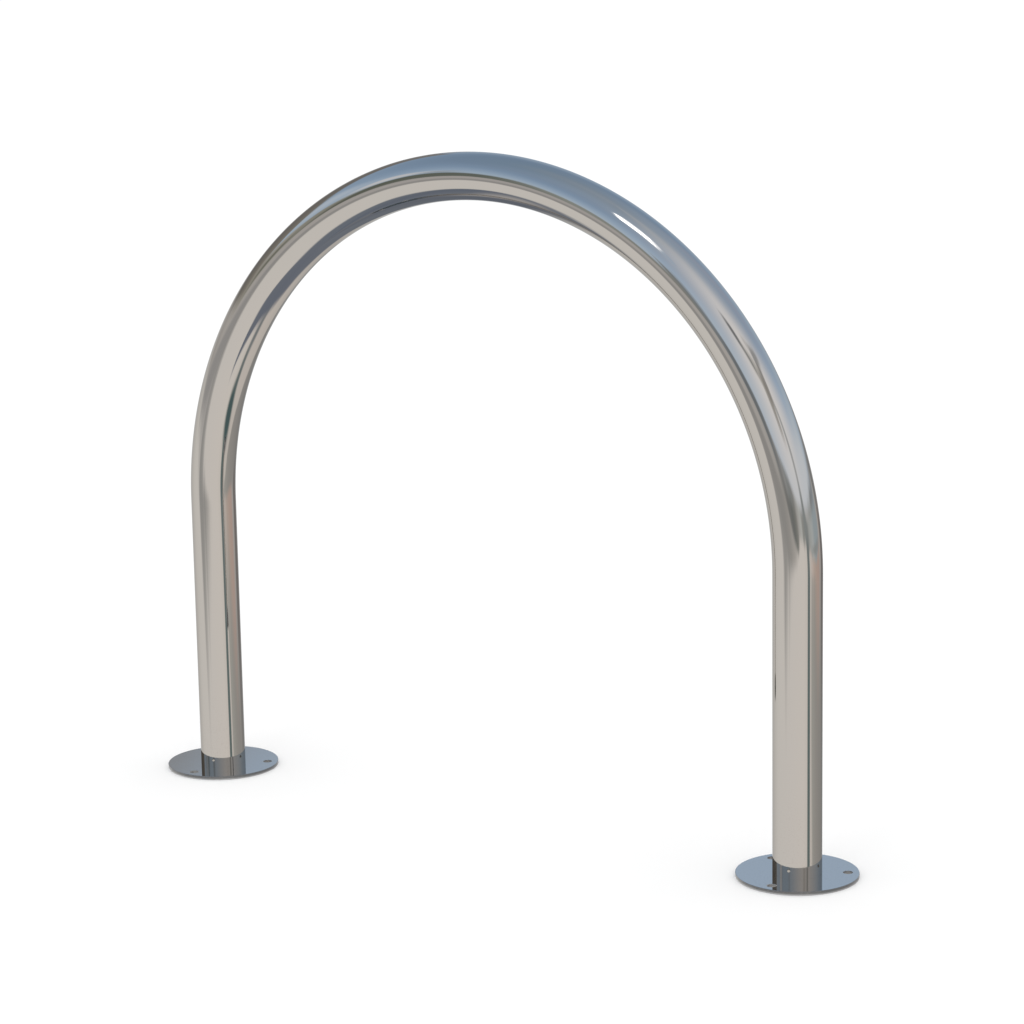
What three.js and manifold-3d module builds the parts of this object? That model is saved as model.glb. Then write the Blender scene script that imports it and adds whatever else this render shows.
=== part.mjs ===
// A hoop bike rack: one length of polished stainless steel tube, bent into a half-circle arch on
// two straight legs, with a round bolt-down flange at each foot. The tube stands in the flange's
// bore and is welded to it from below, so that the visible joint is a clean line.
// Millimetres, +Z up. The hoop stands in the XZ plane, and the origin is on the ground, midway
// between the two legs.

import * as THREE from "three";
import { mergeVertices } from "three/addons/utils/BufferGeometryUtils.js";
import Module from "manifold-3d";

const wasm = await Module();
wasm.setup();

// The hoop
const TUBE_DIAMETER = 60.3;
const TUBE_WALL = 2.8;
const BEND_RADIUS = 452; // of the tube's centreline, so the legs stand twice this apart
const LEG_HEIGHT = 374; // from the ground to where the bend starts

// The flanges
const FLANGE_OVERHANG = 44.85; // how far the plate reaches out past the tube
const FLANGE_THICKNESS = 5;
const RIM_CHAMFER = 0.5;
const BOLT_HOLES = 3;
const BOLT_HOLE_DIAMETER = 12;
const BOLT_HOLE_TO_RIM = 8; // the metal left between a hole and the rim
const FIRST_HOLE_ANGLE = -Math.PI / 2; // square to the hoop, on the -Y side

// The weld under each flange
const WELD_DEPTH = 3; // of the 45 degree groove round the bore, and of the tube's end in it
const WELD_INNER_HEIGHT = 0.9; // of the bead, where it ends below the tube's inner wall

const FIT_GAP = 0.3; // between pieces that touch or are joined on the real rack
const CUT_OVERRUN = 2; // how far a drill runs past both faces of the plate

// How finely round shapes are divided
const TUBE_SIDES = 36;
const BEND_STEPS = 44;
const RIM_SIDES = 72;
const HOLE_SIDES = 24;

const tubeRadius = TUBE_DIAMETER / 2;
const tubeBore = tubeRadius - TUBE_WALL;
const flangeRadius = tubeRadius + FLANGE_OVERHANG;
const flangeBore = tubeRadius + FIT_GAP;
const boltCircle = flangeRadius - BOLT_HOLE_TO_RIM - BOLT_HOLE_DIAMETER / 2;

const polishedTube = new THREE.MeshStandardMaterial({
  name: "polished_tube",
  color: 0xaba8a3,
  roughness: 0.08,
  metalness: 1,
});
const polishedPlate = new THREE.MeshStandardMaterial({
  name: "polished_plate",
  color: 0xb3b0ac,
  roughness: 0.06,
  metalness: 1,
});
const weldMetal = new THREE.MeshStandardMaterial({
  name: "weld_metal",
  color: 0x9a938a,
  roughness: 0.38,
  metalness: 1,
});

// The tube's centreline: up the left leg, over the arch and down the right leg. Each leg takes
// one step of the sweep and the arch takes the rest, so that a ring lies on each tangent point.
class HoopCentreline extends THREE.Curve {
  constructor() {
    super();
    this.steps = BEND_STEPS + 2;
  }

  // How far round the arch a share of the sweep is, from 0 at the left leg to PI at the right.
  turn(share) {
    const stepsIntoBend = share * this.steps - 1;
    return (Math.PI * THREE.MathUtils.clamp(stepsIntoBend, 0, BEND_STEPS)) / BEND_STEPS;
  }

  getPointAt(share, target = new THREE.Vector3()) {
    const turn = this.turn(share);
    target.set(-BEND_RADIUS * Math.cos(turn), 0, LEG_HEIGHT + BEND_RADIUS * Math.sin(turn));
    const legShare = Math.max(1 - share * this.steps, share * this.steps - (BEND_STEPS + 1), 0);
    target.z -= legShare * (LEG_HEIGHT - WELD_DEPTH);
    return target;
  }

  getTangentAt(share, target = new THREE.Vector3()) {
    const turn = this.turn(share);
    return target.set(Math.sin(turn), 0, Math.cos(turn));
  }
}

// A circle as a closed path, with a vertex on each axis.
function circle(radius, PathType = THREE.Path) {
  const path = new PathType();
  path.absarc(0, 0, radius, 0, 2 * Math.PI, false);
  return path;
}

function hoopTube() {
  const section = circle(tubeRadius, THREE.Shape);
  section.holes.push(circle(tubeBore));
  const centreline = new HoopCentreline();
  return new THREE.ExtrudeGeometry(section, {
    steps: centreline.steps,
    extrudePath: centreline,
    curveSegments: TUBE_SIDES / 2,
  });
}

// A ring turned about Z from a closed outline of [radius, height] corners, counterclockwise.
function turnedRing(outline, sides) {
  const profile = [...outline, outline[0]].map(([radius, height]) => new THREE.Vector2(radius, height));
  return new THREE.LatheGeometry(profile, sides).rotateX(Math.PI / 2);
}

function toSolid(geometry) {
  const bare = geometry.clone();
  bare.deleteAttribute("normal");
  bare.deleteAttribute("uv");
  const merged = mergeVertices(bare);
  return new wasm.Manifold(
    new wasm.Mesh({
      numProp: 3,
      vertProperties: merged.attributes.position.array,
      triVerts: new Uint32Array(merged.index.array),
    }),
  );
}

function toGeometry(solid) {
  const mesh = solid.getMesh();
  const geometry = new THREE.BufferGeometry();
  geometry.setAttribute("position", new THREE.BufferAttribute(mesh.vertProperties, mesh.numProp));
  geometry.setIndex(new THREE.BufferAttribute(mesh.triVerts, 1));
  geometry.computeVertexNormals();
  return geometry;
}

// The round plate, with a chamfer round the top of its rim, a bore for the tube with a weld
// groove under it, and bolt holes spaced evenly on their circle.
function flange() {
  const plate = turnedRing(
    [
      [flangeBore + WELD_DEPTH, 0],
      [flangeRadius, 0],
      [flangeRadius, FLANGE_THICKNESS - RIM_CHAMFER],
      [flangeRadius - RIM_CHAMFER, FLANGE_THICKNESS],
      [flangeBore, FLANGE_THICKNESS],
      [flangeBore, WELD_DEPTH],
    ],
    RIM_SIDES,
  );
  const drillLength = FLANGE_THICKNESS + 2 * CUT_OVERRUN;
  let solid = toSolid(plate);
  for (let hole = 0; hole < BOLT_HOLES; hole += 1) {
    const angle = FIRST_HOLE_ANGLE + (2 * Math.PI * hole) / BOLT_HOLES;
    const drill = new THREE.CylinderGeometry(
      BOLT_HOLE_DIAMETER / 2,
      BOLT_HOLE_DIAMETER / 2,
      drillLength,
      HOLE_SIDES,
    );
    drill.rotateX(Math.PI / 2);
    drill.translate(
      boltCircle * Math.cos(angle),
      boltCircle * Math.sin(angle),
      FLANGE_THICKNESS / 2,
    );
    solid = solid.subtract(toSolid(drill));
  }
  return toGeometry(solid);
}

// The bead that joins the tube's end to the flange. It fills the groove, with the fit gap all
// round it, and stays above the flange's underside, so that the flange sits flat.
function weldBead() {
  const top = WELD_DEPTH - FIT_GAP;
  const bottom = FIT_GAP;
  const inner = tubeBore + FIT_GAP;
  const grooveLine = flangeBore + WELD_DEPTH - FIT_GAP * Math.SQRT2; // its radius plus its height
  return turnedRing(
    [
      [inner, top - WELD_INNER_HEIGHT],
      [tubeRadius, bottom],
      [grooveLine - bottom, bottom],
      [grooveLine - top, top],
      [inner, top],
    ],
    RIM_SIDES,
  );
}

function namedMesh(name, geometry, material) {
  const mesh = new THREE.Mesh(geometry, material);
  mesh.name = name;
  return mesh;
}

const rack = new THREE.Group();
rack.add(namedMesh("hoop_tube", hoopTube(), polishedTube));
for (const [side, direction] of Object.entries({ left: -1, right: 1 })) {
  const foot = new THREE.Group();
  foot.position.x = direction * BEND_RADIUS;
  foot.add(namedMesh(`${side}_flange`, flange(), polishedPlate));
  foot.add(namedMesh(`${side}_weld`, weldBead(), weldMetal));
  rack.add(foot);
}

export default rack;
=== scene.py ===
"""A hoop bike rack of polished stainless steel, dressed and lit for a studio picture.

Lengths are in metres and +Z is up. The hoop stands in the XZ plane, on its two feet. The outer
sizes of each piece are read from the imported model, and its other sizes are fields of its class.
Directions in the studio are in degrees: azimuth 0 looks along +X and 90 along +Y, and elevation is
above the horizon.
"""

import logging
import math
from collections.abc import Sequence
from dataclasses import dataclass
from enum import Enum

import bpy
from mathutils import Matrix, Vector


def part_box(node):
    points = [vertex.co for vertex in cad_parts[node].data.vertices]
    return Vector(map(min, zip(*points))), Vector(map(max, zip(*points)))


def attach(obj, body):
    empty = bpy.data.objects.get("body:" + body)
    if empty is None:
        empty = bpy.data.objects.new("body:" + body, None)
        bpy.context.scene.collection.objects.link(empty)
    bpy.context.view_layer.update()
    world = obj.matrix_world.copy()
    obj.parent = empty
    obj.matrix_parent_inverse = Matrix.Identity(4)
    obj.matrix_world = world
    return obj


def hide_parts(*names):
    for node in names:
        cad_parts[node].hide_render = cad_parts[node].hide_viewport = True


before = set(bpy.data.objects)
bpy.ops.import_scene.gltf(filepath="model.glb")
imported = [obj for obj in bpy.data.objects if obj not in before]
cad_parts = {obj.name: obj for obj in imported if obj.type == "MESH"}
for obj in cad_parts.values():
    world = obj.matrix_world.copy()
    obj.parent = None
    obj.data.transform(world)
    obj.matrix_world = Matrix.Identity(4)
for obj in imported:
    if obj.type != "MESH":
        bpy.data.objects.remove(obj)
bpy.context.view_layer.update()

LOG = logging.getLogger("bike_rack")

Colour = tuple[float, float, float]
Tone = tuple[int, int, int]
Pair = tuple[float, float]
Place = tuple[float, float, float]
Feeds = dict[str | int, object]
Sockets = dict[str, str]
Material = bpy.types.Material
Mesh = bpy.types.Mesh
Object = bpy.types.Object

BODY = "root"
MILLIMETRE = 0.001
FULL_TURN = 2 * math.pi
CREASE_ANGLE = math.radians(32)
MERGE_DISTANCE = 1e-6
LEVEL_UPRIGHT = 0.9999  # the least upright part of a level face's normal
WALL_UPRIGHT = 0.95  # the greatest of a wall's

SRGB_TOP = 255
SRGB_TOE = 0.04045
SRGB_TOE_SLOPE = 12.92
SRGB_OFFSET = 0.055
SRGB_POWER = 2.4

STEEL: Colour = (0.41, 0.39, 0.365)
STEEL_EDGE_TINT = 0.64
PLATE_STEEL: Colour = (0.45, 0.43, 0.405)
PLATE_EDGE_TINT = 0.7
DUST_COLOUR: Colour = (0.30, 0.27, 0.24)
# The tone of the glowing discs in the bolt holes: a painted reflection of the lit ground.
GROUND_GLOW_TONE: Tone = (176, 170, 162)
PLAIN_LIGHT = 1.10


def linear(tone: Tone) -> Colour:
    """Turns a display colour, each channel from 0 to 255, into a scene colour.

    Args:
        tone: The display colour.

    Returns:
        The scene-linear colour.
    """
    shares = (channel / SRGB_TOP for channel in tone)
    return tuple(
        share / SRGB_TOE_SLOPE
        if share <= SRGB_TOE
        else ((share + SRGB_OFFSET) / (1 + SRGB_OFFSET)) ** SRGB_POWER
        for share in shares
    )


@dataclass(frozen=True)
class Wire:
    """A wire from a node's output. Python's operators lead wires and numbers into Math nodes."""

    graph: "Graph"
    node: bpy.types.Node
    output: str | int = 0

    def __getitem__(self, output: str | int) -> "Wire":
        """Gives the wire from another output of the same node."""
        return Wire(self.graph, self.node, output)

    def __add__(self, other: "Wire | float") -> "Wire":
        """Adds."""
        return self.graph.math("ADD", self, other)

    def __sub__(self, other: "Wire | float") -> "Wire":
        """Subtracts."""
        return self.graph.math("SUBTRACT", self, other)

    def __rsub__(self, other: float) -> "Wire":
        """Subtracts from a number."""
        return self.graph.math("SUBTRACT", other, self)

    def __mul__(self, other: "Wire | float") -> "Wire":
        """Multiplies."""
        return self.graph.math("MULTIPLY", self, other)

    def __truediv__(self, other: "Wire | float") -> "Wire":
        """Divides."""
        return self.graph.math("DIVIDE", self, other)

    def __rtruediv__(self, other: float) -> "Wire":
        """Divides a number."""
        return self.graph.math("DIVIDE", other, self)

    def __neg__(self) -> "Wire":
        """Changes the sign."""
        return self * -1

    def __abs__(self) -> "Wire":
        """Drops the sign."""
        return self.graph.math("ABSOLUTE", self)


class Graph:
    """Adds nodes to a node tree and wires them up."""

    def __init__(self, tree: bpy.types.NodeTree) -> None:
        """Starts on a shader or geometry tree."""
        self.tree = tree

    def add(self, kind: str, feeds: Feeds | None = None, **settings: object) -> Wire:
        """Adds one node.

        Args:
            kind: The node's type name.
            feeds: What goes into its inputs, by name or place: a wire or a plain value.
            **settings: The node's own properties.

        Returns:
            The wire from its first output.
        """
        node = self.tree.nodes.new(kind)
        for name, value in settings.items():
            setattr(node, name, value)
        for key, value in (feeds or {}).items():
            self.feed(node.inputs[key], value)
        return Wire(self, node)

    def feed(self, socket: bpy.types.NodeSocket, value: object) -> None:
        """Leads a wire into an input, or sets its value.

        Args:
            socket: The input.
            value: A wire or a plain value.
        """
        if isinstance(value, Wire):
            self.tree.links.new(value.node.outputs[value.output], socket)
        elif socket.type == "RGBA":
            socket.default_value = (*value, 1.0)
        else:
            socket.default_value = value

    def math(self, operation: str, *values: Wire | float, clamp: bool = False) -> Wire:
        """Adds a Math node, such as SINE. With clamp, its result stays from 0 to 1."""
        return self.add("ShaderNodeMath", dict(enumerate(values)), operation=operation, use_clamp=clamp)

    def ramp(self, value: Wire, start: Wire | float, end: Wire | float) -> Wire:
        """Maps a value smoothly to 0 up to start and 1 from end on."""
        feeds = {"Value": value, "From Min": start, "From Max": end}
        return self.add("ShaderNodeMapRange", feeds, interpolation_type="SMOOTHSTEP")

    def mix(self, share: Wire, first: Wire | Colour, second: Wire | Colour) -> Wire:
        """Mixes two colours, with a share of the second."""
        # The node has like-named sockets for each type, so those for colours go by their places.
        return self.add("ShaderNodeMix", {0: share, 6: first, 7: second}, data_type="RGBA")[2]

    def tones(self, value: Wire, stops: Sequence[tuple[float, Colour]]) -> Wire:
        """Turns a value into a colour.

        Args:
            value: The value.
            stops: The colours, each with the value that gives it, in order.

        Returns:
            The colour.
        """
        ramp = self.add("ShaderNodeValToRGB", {0: value})
        elements = ramp.node.color_ramp.elements
        elements[0].position, elements[-1].position = stops[0][0], stops[-1][0]
        for position, _ in stops[1:-1]:
            elements.new(position)
        for element, (_, colour) in zip(elements, stops):
            element.color = (*colour, 1.0)
        return ramp

    def noise(self, vector: Wire, scale: float, detail: float = 2.0, distortion: float = 0.0) -> Wire:
        """Adds a noise texture, about 0.5 on average. Its scale is in features to a unit."""
        feeds = {"Vector": vector, "Scale": scale, "Detail": detail, "Distortion": distortion}
        return self.add("ShaderNodeTexNoise", feeds)

    def bump(self, height: Wire, distance: float) -> Wire:
        """Turns a height from 0 to 1 into a normal, for a relief of the given distance."""
        return self.add("ShaderNodeBump", {"Height": height, "Distance": distance, "Strength": 1.0})

    def place(self) -> Wire:
        """Gives the place on the piece."""
        return self.add("ShaderNodeTexCoord")["Object"]

    def shade(self, looks: Feeds) -> None:
        """Makes a material's own shader metal.

        Args:
            looks: What goes into its other inputs, by name.
        """
        shader = self.tree.nodes["Principled BSDF"]
        for label, value in {"Metallic": 1.0, **looks}.items():
            self.feed(shader.inputs[label], value)


class Group(Graph):
    """A node group, with its inputs on the wires of its entry."""

    def __init__(self, name: str, inputs: Sockets, outputs: Sockets, kind: str = "ShaderNodeTree") -> None:
        """Starts the group.

        Args:
            name: The group's name.
            inputs: The type of each input socket, by name.
            outputs: The type of each output socket, by name.
            kind: The type of its tree.
        """
        super().__init__(bpy.data.node_groups.new(name, kind))
        new_socket = self.tree.interface.new_socket
        for way, sockets in (("INPUT", inputs), ("OUTPUT", outputs)):
            for label, socket_type in sockets.items():
                new_socket(name=label, in_out=way, socket_type=f"NodeSocket{socket_type}")
        self.entry = self.add("NodeGroupInput")


class MeshGraph(Group):
    """The geometry tree that makes one piece, with an input for each of its sizes."""

    SOCKET_TYPES = {int: "Int", float: "Float", Material: "Material", Object: "Object"}

    def __init__(self, name: str, sizes: dict[str, object]) -> None:
        """Starts the tree.

        Args:
            name: The tree's name.
            sizes: What its inputs are set to, by name.
        """
        inputs = {"Geometry": "Geometry"}
        types = self.SOCKET_TYPES.items()
        for label, value in sizes.items():
            inputs[label] = next(socket for owner, socket in types if isinstance(value, owner))
        super().__init__(name, inputs, {"Geometry": "Geometry"}, "GeometryNodeTree")
        self.sizes = sizes
        self.geometry = self.entry["Geometry"]

    def then(self, kind: str, feeds: Feeds | None = None, **settings: object) -> Wire:
        """Leads the geometry through one more node and gives the wire from its first output."""
        self.geometry = self.add(kind, {"Geometry": self.geometry, **(feeds or {})}, **settings)
        return self.geometry

    def compare(self, operation: str, first: Wire, second: Wire | float) -> Wire:
        """Compares two numbers, such as LESS_THAN."""
        return self.add("FunctionNodeCompare", {0: first, 1: second}, operation=operation)

    def grid(self, length: Wire, width: Wire) -> Wire:
        """Lays a grid of unit squares round the origin, to be wrapped into a skin.

        Args:
            length: How many squares it has along X.
            width: How many squares it has along Y.

        Returns:
            The place of each point, with the outputs X, Y and Z.
        """
        sizes = {"Size X": length, "Size Y": width, "Vertices X": length + 1, "Vertices Y": width + 1}
        self.geometry = self.add("GeometryNodeMeshGrid", sizes)
        return self.add("ShaderNodeSeparateXYZ", {0: self.add("GeometryNodeInputPosition")})

    def wrap(self, across: Wire, deep: Wire, height: Wire) -> None:
        """Moves the grid's points into place, closes its seams and makes it smooth.

        Args:
            across: The new X of each point.
            deep: Its new Y.
            height: Its new Z.
        """
        place = self.add("ShaderNodeCombineXYZ", {"X": across, "Y": deep, "Z": height})
        self.then("GeometryNodeSetPosition", {"Position": place})
        self.then("GeometryNodeMergeByDistance", {"Distance": MERGE_DISTANCE})
        self.then("GeometryNodeSetShadeSmooth")

    def crease(self) -> None:
        """Makes the sharp edges of the smooth mesh shade sharp."""
        sharp = self.compare("GREATER_THAN", self.add("GeometryNodeInputMeshEdgeAngle"), CREASE_ANGLE)
        feeds = {"Selection": sharp, "Shade Smooth": False}
        self.then("GeometryNodeSetShadeSmooth", feeds, domain="EDGE")

    def coat(self, *coats: tuple[Wire | bool, Wire]) -> None:
        """Makes the mesh real, gives it its materials and ends the tree.

        Args:
            *coats: The faces that each material covers and the material, from the first to the last.
        """
        self.then("GeometryNodeRealizeInstances")
        for selection, material in coats:
            self.then("GeometryNodeSetMaterial", {"Selection": selection, "Material": material})
        self.add("NodeGroupOutput", {"Geometry": self.geometry})

    def run(self, name: str, start: Mesh | None = None) -> Object:
        """Runs the tree and keeps its result as a plain mesh.

        Args:
            name: The piece's name.
            start: The mesh that the tree starts from, if it needs one.

        Returns:
            The piece at the origin, with no modifier left on it.
        """
        piece = new_object(name, start or bpy.data.meshes.new(name))
        modifier = piece.modifiers.new(self.tree.name, "NODES")
        modifier.node_group = self.tree
        for item in self.tree.interface.items_tree:
            if item.in_out == "INPUT" and item.name in self.sizes:
                modifier[item.identifier] = self.sizes[item.name]
        depsgraph = bpy.context.evaluated_depsgraph_get()
        mesh = bpy.data.meshes.new_from_object(
            piece.evaluated_get(depsgraph), preserve_all_data_layers=True, depsgraph=depsgraph
        )
        piece.modifiers.remove(modifier)
        piece.data = mesh
        mesh.name = name
        return piece


def titled(settings: object) -> dict[str, float]:
    """Gives the numbers among a dataclass's fields by title, such as Leg Height for leg_height."""
    numbers = {name: value for name, value in vars(settings).items() if isinstance(value, int | float)}
    return {name.replace("_", " ").title(): value for name, value in numbers.items()}


def new_object(name: str, data: bpy.types.ID) -> Object:
    """Puts a new object into the scene.

    Args:
        name: The object's name.
        data: Its mesh, light or camera.

    Returns:
        The object.
    """
    thing = bpy.data.objects.new(name, data)
    bpy.context.scene.collection.objects.link(thing)
    return thing


def new_material(name: str) -> tuple[Material, Graph]:
    """Starts a material.

    Args:
        name: The material's name.

    Returns:
        The material and its graph, which has the default shader.
    """
    material = bpy.data.materials.new(name)
    material.use_nodes = True
    return material, Graph(material.node_tree)


def seat(piece: Object, node: str) -> None:
    """Puts a finished piece in a node's place.

    Args:
        piece: The piece.
        node: The CAD node that it stands for.
    """
    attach(piece, BODY)
    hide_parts(node)
    LOG.info("%s: %d faces for %s", piece.name, len(piece.data.polygons), node)


class Side(Enum):
    """Which foot of the hoop."""

    LEFT = "left"
    RIGHT = "right"


class Lay(Enum):
    """Which way polishing lines run on a piece, as the name of the place they are read at."""

    ALONG_TUBE = "straight"
    ALONG_SHEET = "object"


class SteelEffects:
    """The shader groups that the steel finishes share."""

    SCRATCH_STRETCH = (0.35, 0.35, 1.6)  # scratches are wider apart than lines, and shorter
    SCRATCH_LIMITS = (0.74, 0.8)
    HAZE_LIMITS = (0.48, 0.72)
    DUST_TOP = 0.16  # how high above the ground the dust reaches
    SPECK_SCALE = 900.0
    SPECK_LIMITS = (0.56, 0.7)

    def __init__(self) -> None:
        """Builds each group once."""
        self.lines = self._polishing_lines()
        self.marks = self._handling_marks()

    def add_marks(self, graph: Graph, place: Wire, size: float, dust: float = 0.0) -> Wire:
        """Adds the marks of handling: Haze in patches of the given size, and Dust at the ground."""
        feeds = {"Position": place, "Size": size, "Ground Dust": dust}
        return graph.add("ShaderNodeGroup", feeds, node_tree=self.marks)

    def _polishing_lines(self) -> bpy.types.NodeTree:
        """Fine lines that the last polishing wheel leaves, long along Z.

        Returns:
            A group that gives the lines' height and a mask of the few deeper scratches.
        """
        inputs = {"Position": "Vector", "Spacing": "Float", "Length": "Float", "Scratches": "Float"}
        graph = Group("Polishing Lines", inputs, {"Height": "Float", "Scratch": "Float"})
        across = 1.0 / graph.entry["Spacing"]
        along = 1.0 / graph.entry["Length"]
        scale = graph.add("ShaderNodeCombineXYZ", {"X": across, "Y": across, "Z": along})
        feeds = {0: graph.entry["Position"], 1: scale}
        spot = graph.add("ShaderNodeVectorMath", feeds, operation="MULTIPLY")
        stretched = graph.add("ShaderNodeMapping", {"Vector": spot, "Scale": self.SCRATCH_STRETCH})
        sparse = graph.noise(stretched, scale=1.0, detail=1.0)
        scratch = graph.ramp(sparse, *self.SCRATCH_LIMITS) * graph.entry["Scratches"]
        height = graph.noise(spot, scale=1.0, detail=3.0)
        graph.add("NodeGroupOutput", {"Height": height, "Scratch": scratch})
        return graph.tree

    def _handling_marks(self) -> bpy.types.NodeTree:
        """Faint hazes where hands, tyres and rain have been, and fine dust low down.

        Returns:
            A group that gives a mask of the haze and one of the dust.
        """
        inputs = {"Position": "Vector", "Size": "Float", "Ground Dust": "Float"}
        graph = Group("Handling Marks", inputs, {"Haze": "Float", "Dust": "Float"})
        feeds = {0: graph.entry["Position"], "Scale": 1.0 / graph.entry["Size"]}
        spot = graph.add("ShaderNodeVectorMath", feeds, operation="SCALE")
        haze = graph.ramp(graph.noise(spot, scale=1.0, detail=4.0, distortion=0.6), *self.HAZE_LIMITS)
        place = graph.place()
        low = graph.ramp(graph.add("ShaderNodeSeparateXYZ", {0: place})["Z"], self.DUST_TOP, 0.0)
        specks = graph.ramp(graph.noise(place, self.SPECK_SCALE), *self.SPECK_LIMITS)
        dust = low * specks * graph.entry["Ground Dust"]
        graph.add("NodeGroupOutput", {"Haze": haze, "Dust": dust})
        return graph.tree


@dataclass(frozen=True)
class MirrorSteel:
    """Stainless steel polished to a mirror."""

    name: str
    colour: Colour
    edge_tint: float
    lay: Lay
    roughness: float = 0.035
    haze: float = 0.02
    line_spacing: float = 0.22 * MILLIMETRE
    line_length: float = 45 * MILLIMETRE
    line_relief: float = 0.004 * MILLIMETRE
    scratches: float = 0.5
    mark_size: float = 60 * MILLIMETRE
    ground_dust: float = 0.35
    dust_roughness: float = 0.2

    def material(self, effects: SteelEffects) -> Material:
        """Makes the material.

        Args:
            effects: The shared shader groups.

        Returns:
            The material.
        """
        material, graph = new_material(self.name)
        place = self._line_place(graph)
        feeds = {
            "Position": place,
            "Spacing": self.line_spacing,
            "Length": self.line_length,
            "Scratches": self.scratches,
        }
        lines = graph.add("ShaderNodeGroup", feeds, node_tree=effects.lines)
        marks = effects.add_marks(graph, place, self.mark_size, self.ground_dust)
        hazed = marks["Haze"] * self.haze + self.roughness
        looks = {
            "Base Color": graph.mix(marks["Dust"], self.colour, DUST_COLOUR),
            "Specular Tint": (self.edge_tint,) * 3,
            "Roughness": marks["Dust"] * self.dust_roughness + hazed,
            "Normal": graph.bump(lines["Height"] - lines["Scratch"], self.line_relief),
        }
        graph.shade(looks)
        return material

    def _line_place(self, graph: Graph) -> Wire:
        """Finds where the polishing lines are read.

        Args:
            graph: The material's graph.

        Returns:
            The place on the piece, turned so that the lines run along Z.
        """
        if self.lay is Lay.ALONG_TUBE:
            return graph.add("ShaderNodeAttribute", attribute_name=self.lay.value)["Vector"]
        turn = (0, math.radians(90), 0)
        return graph.add("ShaderNodeMapping", {"Vector": graph.place(), "Rotation": turn})


@dataclass(frozen=True)
class SatinSteel:
    """Stainless steel that was cut, drilled or drawn and not polished."""

    name: str
    colour: Colour
    shade: Colour
    roughness: float = 0.42
    grain_scale: float = 700.0
    grain_limits: Pair = (0.35, 0.65)
    relief: float = 0.02 * MILLIMETRE
    haze: float = 0.12
    mark_size: float = 9 * MILLIMETRE
    ground_dust: float = 0.6
    # Painted light: a lighter colour towards the bottom, standing in for light that the pale floor bounces
    # up onto the edge.
    ground_colour: Colour | None = None
    ground_limits: Pair = (2.8 * MILLIMETRE, -0.4 * MILLIMETRE)
    sheen: float = 0.0

    def material(self, effects: SteelEffects) -> Material:
        """Makes the material.

        Args:
            effects: The shared shader groups.

        Returns:
            The material.
        """
        material, graph = new_material(self.name)
        place = graph.place()
        marks = effects.add_marks(graph, place, self.mark_size, self.ground_dust)
        grain = graph.noise(place, self.grain_scale, detail=3.0)
        tone = graph.mix(graph.ramp(grain, *self.grain_limits), self.colour, self.shade)
        # Painted bounce light: the colour turns lighter near the ground, for light thrown up by the floor.
        if self.ground_colour:
            height = graph.add("ShaderNodeSeparateXYZ", {0: place})["Z"]
            tone = graph.mix(graph.ramp(height, *self.ground_limits), tone, self.ground_colour)
        looks = {
            "Base Color": graph.mix(marks["Dust"], tone, DUST_COLOUR),
            "Roughness": marks["Haze"] * self.haze + self.roughness,
            "Sheen Weight": self.sheen,
            "Normal": graph.bump(grain, self.relief),
        }
        graph.shade(looks)
        return material


@dataclass(frozen=True)
class WeldSteel:
    """Weld metal with the colours that its heat leaves: silver, straw, bronze and blue."""

    name: str
    heat: tuple[tuple[float, Colour], ...] = (
        (0.36, (0.56, 0.53, 0.49)),
        (0.5, (0.55, 0.40, 0.20)),
        (0.6, (0.36, 0.21, 0.15)),
        (0.68, (0.17, 0.22, 0.34)),
    )
    heat_scale: float = 150.0
    roughness: float = 0.3
    haze: float = 0.15
    mark_size: float = 6 * MILLIMETRE

    def material(self, effects: SteelEffects) -> Material:
        """Makes the material.

        Args:
            effects: The shared shader groups.

        Returns:
            The material.
        """
        material, graph = new_material(self.name)
        place = graph.place()
        marks = effects.add_marks(graph, place, self.mark_size)
        tone = graph.tones(graph.noise(place, self.heat_scale), self.heat)
        graph.shade({"Base Color": tone, "Roughness": marks["Haze"] * self.haze + self.roughness})
        return material


class Finishes:
    """The finished materials, by the surface that they are for."""

    def __init__(self) -> None:
        """Makes every material."""
        effects = SteelEffects()
        tube = MirrorSteel("polished_tube", STEEL, STEEL_EDGE_TINT, Lay.ALONG_TUBE)
        plate = MirrorSteel(
            "polished_plate", PLATE_STEEL, PLATE_EDGE_TINT, Lay.ALONG_SHEET, roughness=0.02, haze=0.015
        )
        # The rim is painted lighter at its bottom, as painted bounce light from the floor.
        cut_edge = SatinSteel(
            "cut_edge",
            colour=(0.16, 0.16, 0.16),
            shade=(0.14, 0.14, 0.14),
            ground_colour=(0.52, 0.52, 0.52),
            sheen=0.35,
        )
        # The hole walls are the cut steel painted lighter: painted light that makes up for the shade
        # inside the holes.
        drilled = SatinSteel("drilled_wall", (0.26, 0.26, 0.26), (0.24, 0.24, 0.24), sheen=0.5)
        mill = SatinSteel(
            "mill_bore", (0.30, 0.29, 0.28), (0.22, 0.21, 0.20), roughness=0.5, grain_scale=240.0
        )
        self.tube = tube.material(effects)
        self.plate = plate.material(effects)
        self.cut_edge = cut_edge.material(effects)
        self.drilled = drilled.material(effects)
        self.mill = mill.material(effects)
        self.weld = WeldSteel("weld_metal").material(effects)


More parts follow.
